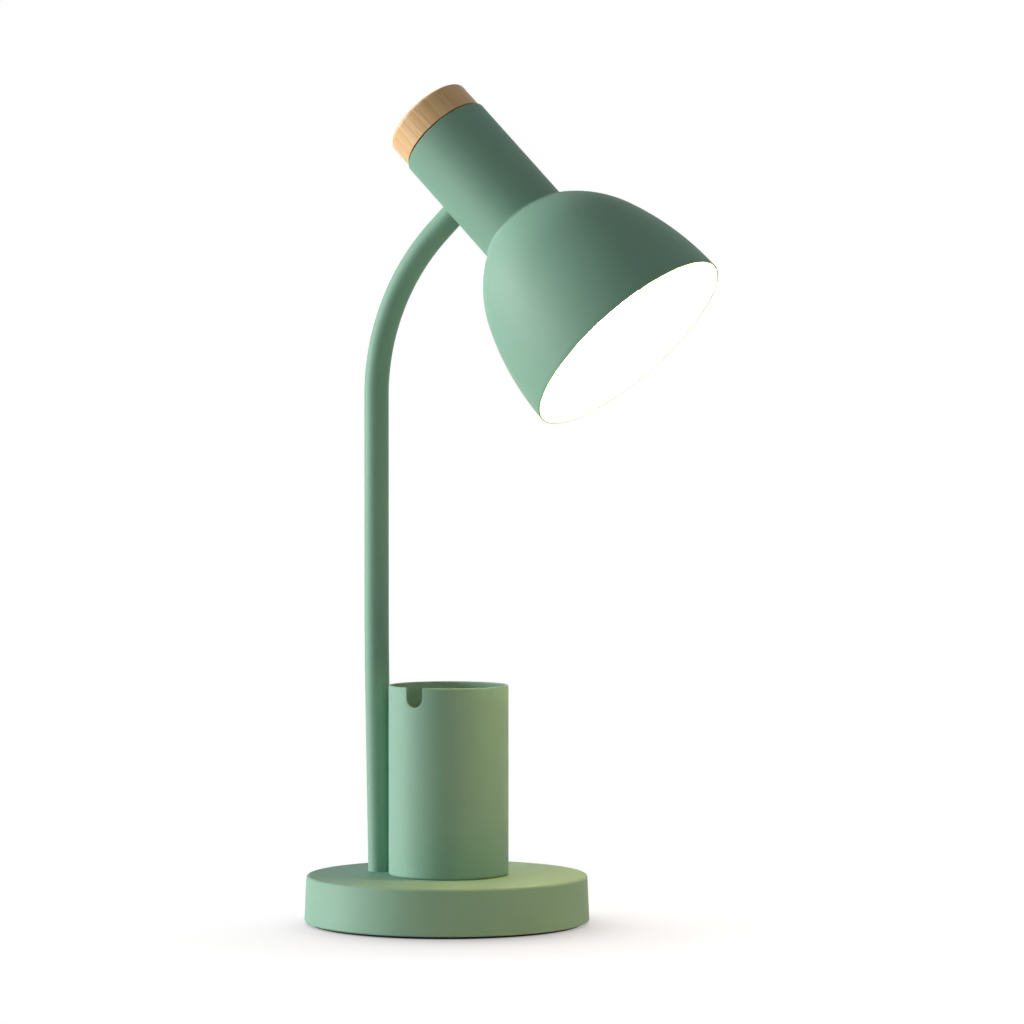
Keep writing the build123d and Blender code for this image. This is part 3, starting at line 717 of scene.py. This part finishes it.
screwTree = makeScrewTree()
cupScrewSettings = {"headRadius": 3.7, "headHeight": 2.4, "shankRadius": 2.0, "aside": 12.0}
cupScrewLow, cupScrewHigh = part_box("cup_screws")
cupSeat = cupScrewHigh.z / mm - cupScrewSettings["headHeight"]
cupHead = screwMesh("cupScrewHead", cupScrewSettings, cupSeat - cupScrewLow.z / mm, screwSettings)
cupSpots = [(cupX, side * cupScrewSettings["aside"]) for side in (-1, 1)]
placeScrews("cupScrews", "cup_screws", cupSpots, cupSeat, cupHead, 0.0, "base")
baseSeat = padHigh.z / mm
baseHead = screwMesh("baseScrewHead", baseScrewSettings, screwHigh.z / mm - baseSeat, screwSettings)
placeScrews("baseScrews", "base_screws", screwSpots, baseSeat, baseHead, math.pi, "base")
print("screws set")


# Neck: one soft sleeve in seven stretches, each around its own joint

neckSettings = {"lean": 2.4, "leanHeight": 125.0, "leanRadius": 2800.0, "stemHeight": 326.9,
                "bendRadius": 129.4, "run": 68.3, "sink": 0.9, "enterHead": 3.0, "step": 1.6, "sides": 48,
                "wall": 1.5, "bendZone": 26.0, "stillSteps": 2, "sharpAngle": 50.0}
sleeveLow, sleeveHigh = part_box("neck_sleeve_4")
neckRadius = (sleeveHigh.y - sleeveLow.y) / 2 / mm
footLow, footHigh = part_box("foot_nut")
footX = (footLow.x + footHigh.x) / 2 / mm


def neckRoute(settings):
    # points along the middle of the neck, in the plane y = 0
    heelX = footX - settings["lean"]
    corner = Vector((heelX, baseHeight + settings["stemHeight"]))
    runWay = Vector((headAcross.x, headAcross.z))
    end = corner + runWay * (settings["run"] + settings["enterHead"])
    slope = settings["lean"] / settings["leanHeight"]
    coarse = roundedLine([
        (footX + slope * settings["sink"], baseHeight - settings["sink"], 0),
        (heelX, baseHeight + settings["leanHeight"], settings["leanRadius"]),
        (corner.x, corner.y, settings["bendRadius"]), (end.x, end.y, 0),
    ], closed=False, arcSteps=64, support=0.0)
    return [Vector((point.x, 0, point.y)) * mm for point in steppedLine(coarse, settings["step"])]


def makeSleeveTree():
    tree, given = startTree("drawSleeve", {"Route": "Geometry", "Radius": "Float", "Sides": "Int",
                                           "Finish": "Material"}, "Sleeve")
    path = addNode(tree, "GeometryNodeMeshToCurve", {"Mesh": given.outputs["Route"]})
    section = addNode(tree, "GeometryNodeCurvePrimitiveCircle", {"Resolution": given.outputs["Sides"],
                                                                 "Radius": given.outputs["Radius"]})
    tube = addNode(tree, "GeometryNodeCurveToMesh", {"Curve": path.outputs[0],
                                                     "Profile Curve": section.outputs[0]})
    smooth = addNode(tree, "GeometryNodeSetShadeSmooth", {"Geometry": tube.outputs[0]})
    closeTree(tree, given, smooth, "Sleeve")
    return tree


def sleeveMesh(tree, route, settings):
    line = bpy.data.meshes.new("sleeveRoute")
    line.from_pydata(route, [(number, number + 1) for number in range(len(route) - 1)], [])
    tube = runTree(line, tree, {"Radius": neckRadius * mm, "Sides": settings["sides"],
                                "Finish": finishes["sage_sleeve"]})
    face = tube.polygons[0]
    nearest = min(route, key=lambda point: (point - face.center).length)
    if face.normal.dot(face.center - nearest) < 0:
        tube.flip_normals()
    piece = bpy.data.objects.new("sleeveTube", tube)
    scene.collection.objects.link(piece)
    thick = piece.modifiers.new("wall", "SOLIDIFY")
    thick.thickness = settings["wall"] * mm
    thick.offset = -1.0
    bpy.context.view_layer.update()
    mesh = appliedMesh(piece)
    mesh.set_sharp_from_angle(angle=math.radians(settings["sharpAngle"]))
    return mesh


def makeNeck(settings):
    route = neckRoute(settings)
    bends = sorted((joint for joint in frame["joints"] if joint["name"].startswith("neck_")),
                   key=lambda joint: int(joint["parent"].split("_")[1]) if "_" in joint["parent"] else 0)
    stops = []
    for bend in bends:
        gaps = [(point - Vector(bend["pos_m"])).length for point in route]
        stops.append(gaps.index(min(gaps)))
    cuts = [0] + [(first + second) // 2 for first, second in zip(stops, stops[1:])] + [len(route) - 1]
    tree = makeSleeveTree()
    for number, bend in enumerate(bends):
        mesh = sleeveMesh(tree, route[cuts[number]:cuts[number + 1] + 1], settings)
        nodes = [f"neck_sleeve_{number + 1}"] + (["neck_sleeve_0"] if number == 0 else [])
        piece = addPiece(f"neckSleeve{number + 1}", mesh, "sage_sleeve", nodes)
        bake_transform(piece)


makeNeck(neckSettings)
print("neck made")


# Head: tube, bell and knob turned about the head's own axis, measured from the tube's open end

headSettings = {"tubeLength": 70.6, "tubeWall": 0.8, "tubeEdge": 0.38, "holderHole": 19.8,
                "shadeLength": 93.0, "shadeWall": 0.8, "rootShares": (0.033, 0.026),
                "shoulderShares": (0.701, 0.374), "arcSteps": (14, 36, 30), "lipSteps": 8, "whiteLipStep": 5,
                "innerStart": 1.5}
tubeLow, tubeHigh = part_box("head_tube")
tubeRadius = (tubeHigh.y - tubeLow.y) / 2 / mm
shadeLow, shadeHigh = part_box("shade")
mouthRadius = (shadeHigh.y - shadeLow.y) / 2 / mm


def tubeMesh(settings):
    bore = tubeRadius - settings["tubeWall"]
    length = settings["tubeLength"]
    seat = length - settings["tubeWall"]
    line = roundedLine([
        (bore, 0, settings["tubeEdge"]), (tubeRadius, 0, settings["tubeEdge"]), (tubeRadius, length, 0),
        (settings["holderHole"], length, 0), (settings["holderHole"], seat, 0), (bore, seat, 0),
    ], support=0.02)
    return turnedMesh("headTube", line, headFrame)


addPiece("headTube", tubeMesh(headSettings), "sage_paint", ["head_tube"], "head")


def shadeMesh(settings):
    wall, base, hole = settings["shadeWall"], settings["tubeLength"], settings["holderHole"]
    flare = mouthRadius - tubeRadius

    def atShares(out, along):
        return Vector((tubeRadius + flare * out, base + settings["shadeLength"] * along))

    # three arcs that run on from each other: root, shoulder and skirt
    ends = [atShares(*settings["rootShares"]), atShares(*settings["shoulderShares"]), atShares(1, 1)]
    line, headings = [atShares(0, 0)], [Vector((0, 1))]
    for end, steps in zip(ends, settings["arcSteps"]):
        for point in tangentArc(line[-1], headings[-1], end, steps):
            # heading at each point, from the chord: the arc turns evenly, so it mirrors the last heading
            chord = (point - line[-1]).normalized()
            headings.append((chord * 2 * chord.dot(headings[-1]) - headings[-1]).normalized())
            line.append(point)
    inner = [point + Vector((-heading.y, heading.x)) * wall for point, heading in zip(line, headings)]
    lipCentre = (line[-1] + inner[-1]) / 2 - headings[-1] * wall / 2
    outwards = Vector((headings[-1].y, -headings[-1].x))
    lip = []
    for step in range(settings["lipSteps"] + 1):
        turn = math.pi * step / settings["lipSteps"]
        lip.append(lipCentre + (outwards * math.cos(turn) + headings[-1] * math.sin(turn)) * wall / 2)
    keptInner = [point for point in reversed(inner[:-1]) if point.y > base + settings["innerStart"] * wall]
    collar = [Vector((tubeRadius - wall, base + wall)), Vector((hole, base + wall)), Vector((hole, base))]
    section = line[:-1] + lip + keptInner + collar
    whiteFrom = len(line) - 1 + settings["whiteLipStep"]
    return turnedMesh("bellShade", section, headFrame, steps=192,
                      finishOf=lambda number: 1 if number >= whiteFrom else 0)


addPiece("bellShade", shadeMesh(headSettings), "sage_paint", ["shade"], "head",
         [finishes["sage_paint"], whiteEnamel])

knobSettings = {"gap": 1.1, "height": 16.5, "edge": 2.4, "lowerEdge": 0.35, "recess": 10.5, "recessEdge": 0.3,
                "recessDepth": 5.0, "bore": 3.05, "boreEnd": 12.05}


def knobMesh(settings):
    low, high = -settings["gap"] - settings["height"], -settings["gap"]
    floor = high - settings["recessDepth"]
    recess, bore, boreEnd = settings["recess"], settings["bore"], -settings["boreEnd"]
    knobLow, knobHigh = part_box("knob")
    radius = (knobHigh.y - knobLow.y) / 2 / mm
    line = roundedLine([
        (0, low, 0), (radius, low, settings["edge"]), (radius, high, settings["lowerEdge"]),
        (recess, high, settings["recessEdge"]), (recess, floor, 0), (bore, floor, 0), (bore, boreEnd, 0),
        (0, boreEnd, 0),
    ], closed=False, arcSteps=10)
    return turnedMesh("switchKnob", line, headFrame, closed=False)


addPiece("switchKnob", knobMesh(knobSettings), "beech", ["knob"], "knob")
print("head made")


# Knurled ring that clamps the shade, ribs set by a node tree

ringSettings = {"ribs": 48, "ribWidth": 1.3, "ribRise": 0.7, "ribSink": 0.3, "ribStart": 0.5,
                "shoulderRise": 0.35, "shoulderShare": 0.8, "crestDrop": 0.02, "crestShare": 0.3,
                "bore": 19.8, "height": 6.0, "edge": 0.5, "lowerEdge": 0.2, "sharpAngle": 30.0}


def ribMesh(settings, body, outer, low, high):
    # one rib, lying along the ring's axis at its +X side: foot, shoulder and crest on either flank
    half = settings["ribWidth"] / 2
    flank = [(body - settings["ribSink"], half),
             (body + settings["shoulderRise"], half * settings["shoulderShare"]),
             (outer - settings["crestDrop"], half * settings["crestShare"])]
    profile = [(x, -y) for x, y in flank] + flank[::-1]
    rings = [[Vector((x, y, level)) * mm for x, y in profile] for level in (low, high)]
    return cappedMesh("ringRib", *rings, settings["sharpAngle"])


def makeRingTree():
    tree, given = startTree("ringRibs", {"Hoop": "Geometry", "Rib": "Object", "Ribs": "Int",
                                         "Place": "Vector", "Turn": "Vector", "Finish": "Material"}, "Ring")
    shape = addNode(tree, "GeometryNodeObjectInfo", {"Object": given.outputs["Rib"], "As Instance": True})
    places = addNode(tree, "GeometryNodePoints", {"Count": given.outputs["Ribs"]})
    index = addNode(tree, "GeometryNodeInputIndex")
    pitch = addNode(tree, "ShaderNodeMath", {0: 2 * math.pi, 1: given.outputs["Ribs"]}, operation="DIVIDE")
    angle = addNode(tree, "ShaderNodeMath", {0: index.outputs[0], 1: pitch.outputs[0]}, operation="MULTIPLY")
    about = addNode(tree, "ShaderNodeCombineXYZ", {"Z": angle.outputs[0]})
    ribs = addNode(tree, "GeometryNodeInstanceOnPoints", {"Points": places.outputs[0],
                                                          "Instance": shape.outputs["Geometry"],
                                                          "Rotation": about.outputs[0]})
    solid = addNode(tree, "GeometryNodeRealizeInstances", {"Geometry": ribs.outputs[0]})
    inHead = addNode(tree, "GeometryNodeTransform", {"Geometry": solid.outputs[0],
                                                     "Translation": given.outputs["Place"],
                                                     "Rotation": given.outputs["Turn"]})
    joined = addNode(tree, "GeometryNodeJoinGeometry")
    tree.links.new(given.outputs["Hoop"], joined.inputs[0])
    tree.links.new(inHead.outputs[0], joined.inputs[0])
    closeTree(tree, given, joined, "Ring")
    return tree


def ringMesh(settings):
    low = headSettings["tubeLength"] + headSettings["shadeWall"]
    high, bore, edge = low + settings["height"], settings["bore"], settings["edge"]
    ringLow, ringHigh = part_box("shade_ring")
    outer = (ringHigh.y - ringLow.y) / 2 / mm
    body = outer - settings["ribRise"]
    line = roundedLine([
        (bore, low, 0), (body, low, settings["lowerEdge"]), (body, high, edge), (bore, high, edge),
    ], support=0.0)
    hoop = turnedMesh("ringHoop", line, headFrame, steps=96)
    ribShape = ribMesh(settings, body, outer, low + settings["ribStart"], high - edge)
    rib = bpy.data.objects.new("ringRib", ribShape)
    scene.collection.objects.link(rib)
    mesh = runTree(hoop, makeRingTree(), {"Rib": rib, "Ribs": settings["ribs"], "Place": headOrigin,
                                          "Turn": headTurn.to_euler(), "Finish": finishes["black_plastic"]})
    bpy.data.objects.remove(rib)
    return mesh


addPiece("shadeRing", ringMesh(ringSettings), "black_plastic", ["shade_ring"], "head")

# Every node that stays gets the finish of its slot
for subpart in frame["record"]["subparts"]:
    node = frame["nodes"][subpart["node"]]
    for holder in node.material_slots:
        holder.material = finishes[subpart["material_slot"]]
print("finishes given to the nodes that stay")


# Camera, light and floor

cameraSettings = {"azimuth": 26.0, "distance": 2400.0, "sideways": 36.97, "height": 284.0, "pitch": 1.2032,
                  "focalPixels": 4231.0, "imagePixels": 1024.0, "sensor": 36.0, "farthest": 50.0}


def placeCamera(settings):
    turn = math.radians(settings["azimuth"])
    right = Vector((math.cos(turn), math.sin(turn), 0))
    back = Vector((math.sin(turn), -math.cos(turn), 0))
    lens = bpy.data.cameras.new("photoCamera")
    lens.sensor_width = settings["sensor"]
    lens.lens = settings["focalPixels"] / settings["imagePixels"] * lens.sensor_width
    lens.clip_end = settings["farthest"]
    camera = bpy.data.objects.new("photoCamera", lens)
    camera.location = (right * settings["sideways"] + back * settings["distance"]
                       + Vector((0, 0, settings["height"]))) * mm
    camera.rotation_euler = (math.pi / 2 - math.radians(settings["pitch"]), 0, turn)
    scene.collection.objects.link(camera)
    scene.camera = camera


placeCamera(cameraSettings)

lightSettings = {"azimuth": -72.0, "elevation": 5.5, "strength": 4.4, "spread": 28.0}


def addKeyLight(settings):
    # broad soft light from the left, the same strength all over the floor
    turn, rise = math.radians(settings["azimuth"]), math.radians(settings["elevation"])
    away = Vector((math.sin(turn) * math.cos(rise), -math.cos(turn) * math.cos(rise), math.sin(rise)))
    lamp = bpy.data.lights.new("keyLight", "SUN")
    lamp.energy = settings["strength"]
    lamp.angle = math.radians(settings["spread"])
    key = bpy.data.objects.new("keyLight", lamp)
    key.rotation_euler = away.to_track_quat("Z", "Y").to_euler()
    scene.collection.objects.link(key)


addKeyLight(lightSettings)

roomSettings = {"backdrop": "#FFFFFF", "ambient": "#F4F6F5", "wallLevel": 0.8, "ceilingLevel": 0.03,
                "wallTop": 0.6, "floor": "#EDEDEB", "shadowBoard": "#474746", "floorGlow": 0.985,
                "shadowReach": 100.0, "shadowLean": (-0.62, 0.56, 0.55), "shadowDepth": 0.78,
                "floorSize": 40.0}


def seenRays(tree):
    # 1 for what the camera, mirrors and glass see
    path = addNode(tree, "ShaderNodeLightPath")
    shiny = addNode(tree, "ShaderNodeMath",
                    {0: path.outputs["Is Glossy Ray"], 1: path.outputs["Is Transmission Ray"]},
                    operation="MAXIMUM")
    return addNode(tree, "ShaderNodeMath", {0: path.outputs["Is Camera Ray"], 1: shiny.outputs[0]},
                   operation="MAXIMUM").outputs[0]


def makeRoom(settings):
    world = bpy.data.worlds.new("studio")
    world.use_nodes = True
    scene.world = world
    tree = world.node_tree
    tree.nodes.clear()
    # pale walls under a darker ceiling
    direction = addNode(tree, "ShaderNodeTexCoord").outputs["Generated"]
    upwards = addNode(tree, "ShaderNodeSeparateXYZ", {0: direction})
    level = addNode(tree, "ShaderNodeMapRange",
                    {"Value": upwards.outputs["Z"], "From Max": settings["wallTop"],
                     "To Min": settings["wallLevel"], "To Max": settings["ceilingLevel"]})
    soft = addNode(tree, "ShaderNodeBackground", {"Color": linearColour(settings["ambient"]),
                                                  "Strength": level.outputs[0]})
    white = addNode(tree, "ShaderNodeBackground", {"Color": linearColour(settings["backdrop"]),
                                                   "Strength": 1.0})
    both = addNode(tree, "ShaderNodeMixShader", {0: seenRays(tree), 1: soft.outputs[0], 2: white.outputs[0]})
    addNode(tree, "ShaderNodeOutputWorld", {"Surface": both.outputs[0]})
    # floor: plain pale board, seen as white, with a painted soft shadow: ambient occlusion dims its white
    # glow near the lamp, so the lamp's own light doesn't wash that shadow out
    material, tree = startMaterial("paleFloor")
    matt = addNode(tree, "ShaderNodeBsdfDiffuse", {"Color": linearColour(settings["floor"])})
    shaded = addNode(tree, "ShaderNodeBsdfDiffuse", {"Color": linearColour(settings["shadowBoard"])})
    # the hemisphere that is searched leans towards the key light, so the painted shadow lies on the far side
    # of it
    leaning = Vector(settings["shadowLean"]).normalized()
    lean = addNode(tree, "ShaderNodeCombineXYZ", dict(zip("XYZ", leaning)))
    paintedShadowOcclusion = addNode(tree, "ShaderNodeAmbientOcclusion", {"Distance": settings["shadowReach"] * mm,
                                                        "Normal": lean.outputs[0]})
    # painted shadow: the white glow is dimmed where the occlusion finds the lamp close by
    glow = addNode(tree, "ShaderNodeMapRange", {"Value": paintedShadowOcclusion.outputs["AO"],
                                                "To Min": settings["floorGlow"] - settings["shadowDepth"],
                                                "To Max": settings["floorGlow"]}, clamp=False)
    lift = addNode(tree, "ShaderNodeEmission", {"Color": linearColour(settings["backdrop"]),
                                                "Strength": glow.outputs[0]})
    lifted = addNode(tree, "ShaderNodeAddShader", {0: shaded.outputs[0], 1: lift.outputs[0]})
    shown = addNode(tree, "ShaderNodeMixShader",
                    {0: seenRays(tree), 1: matt.outputs[0], 2: lifted.outputs[0]})
    closeMaterial(tree, shown)
    half = settings["floorSize"] / 2
    corners = [(-half, -half, 0), (half, -half, 0), (half, half, 0), (-half, half, 0)]
    mesh = bpy.data.meshes.new("floor")
    mesh.from_pydata(corners, [], [(0, 1, 2, 3)])
    mesh.materials.append(material)
    floor = bpy.data.objects.new("floor", mesh)
    scene.collection.objects.link(floor)


makeRoom(roomSettings)
scene.view_settings.view_transform = "Standard"
print("camera, light and floor placed")

bpy.context.view_layer.update()
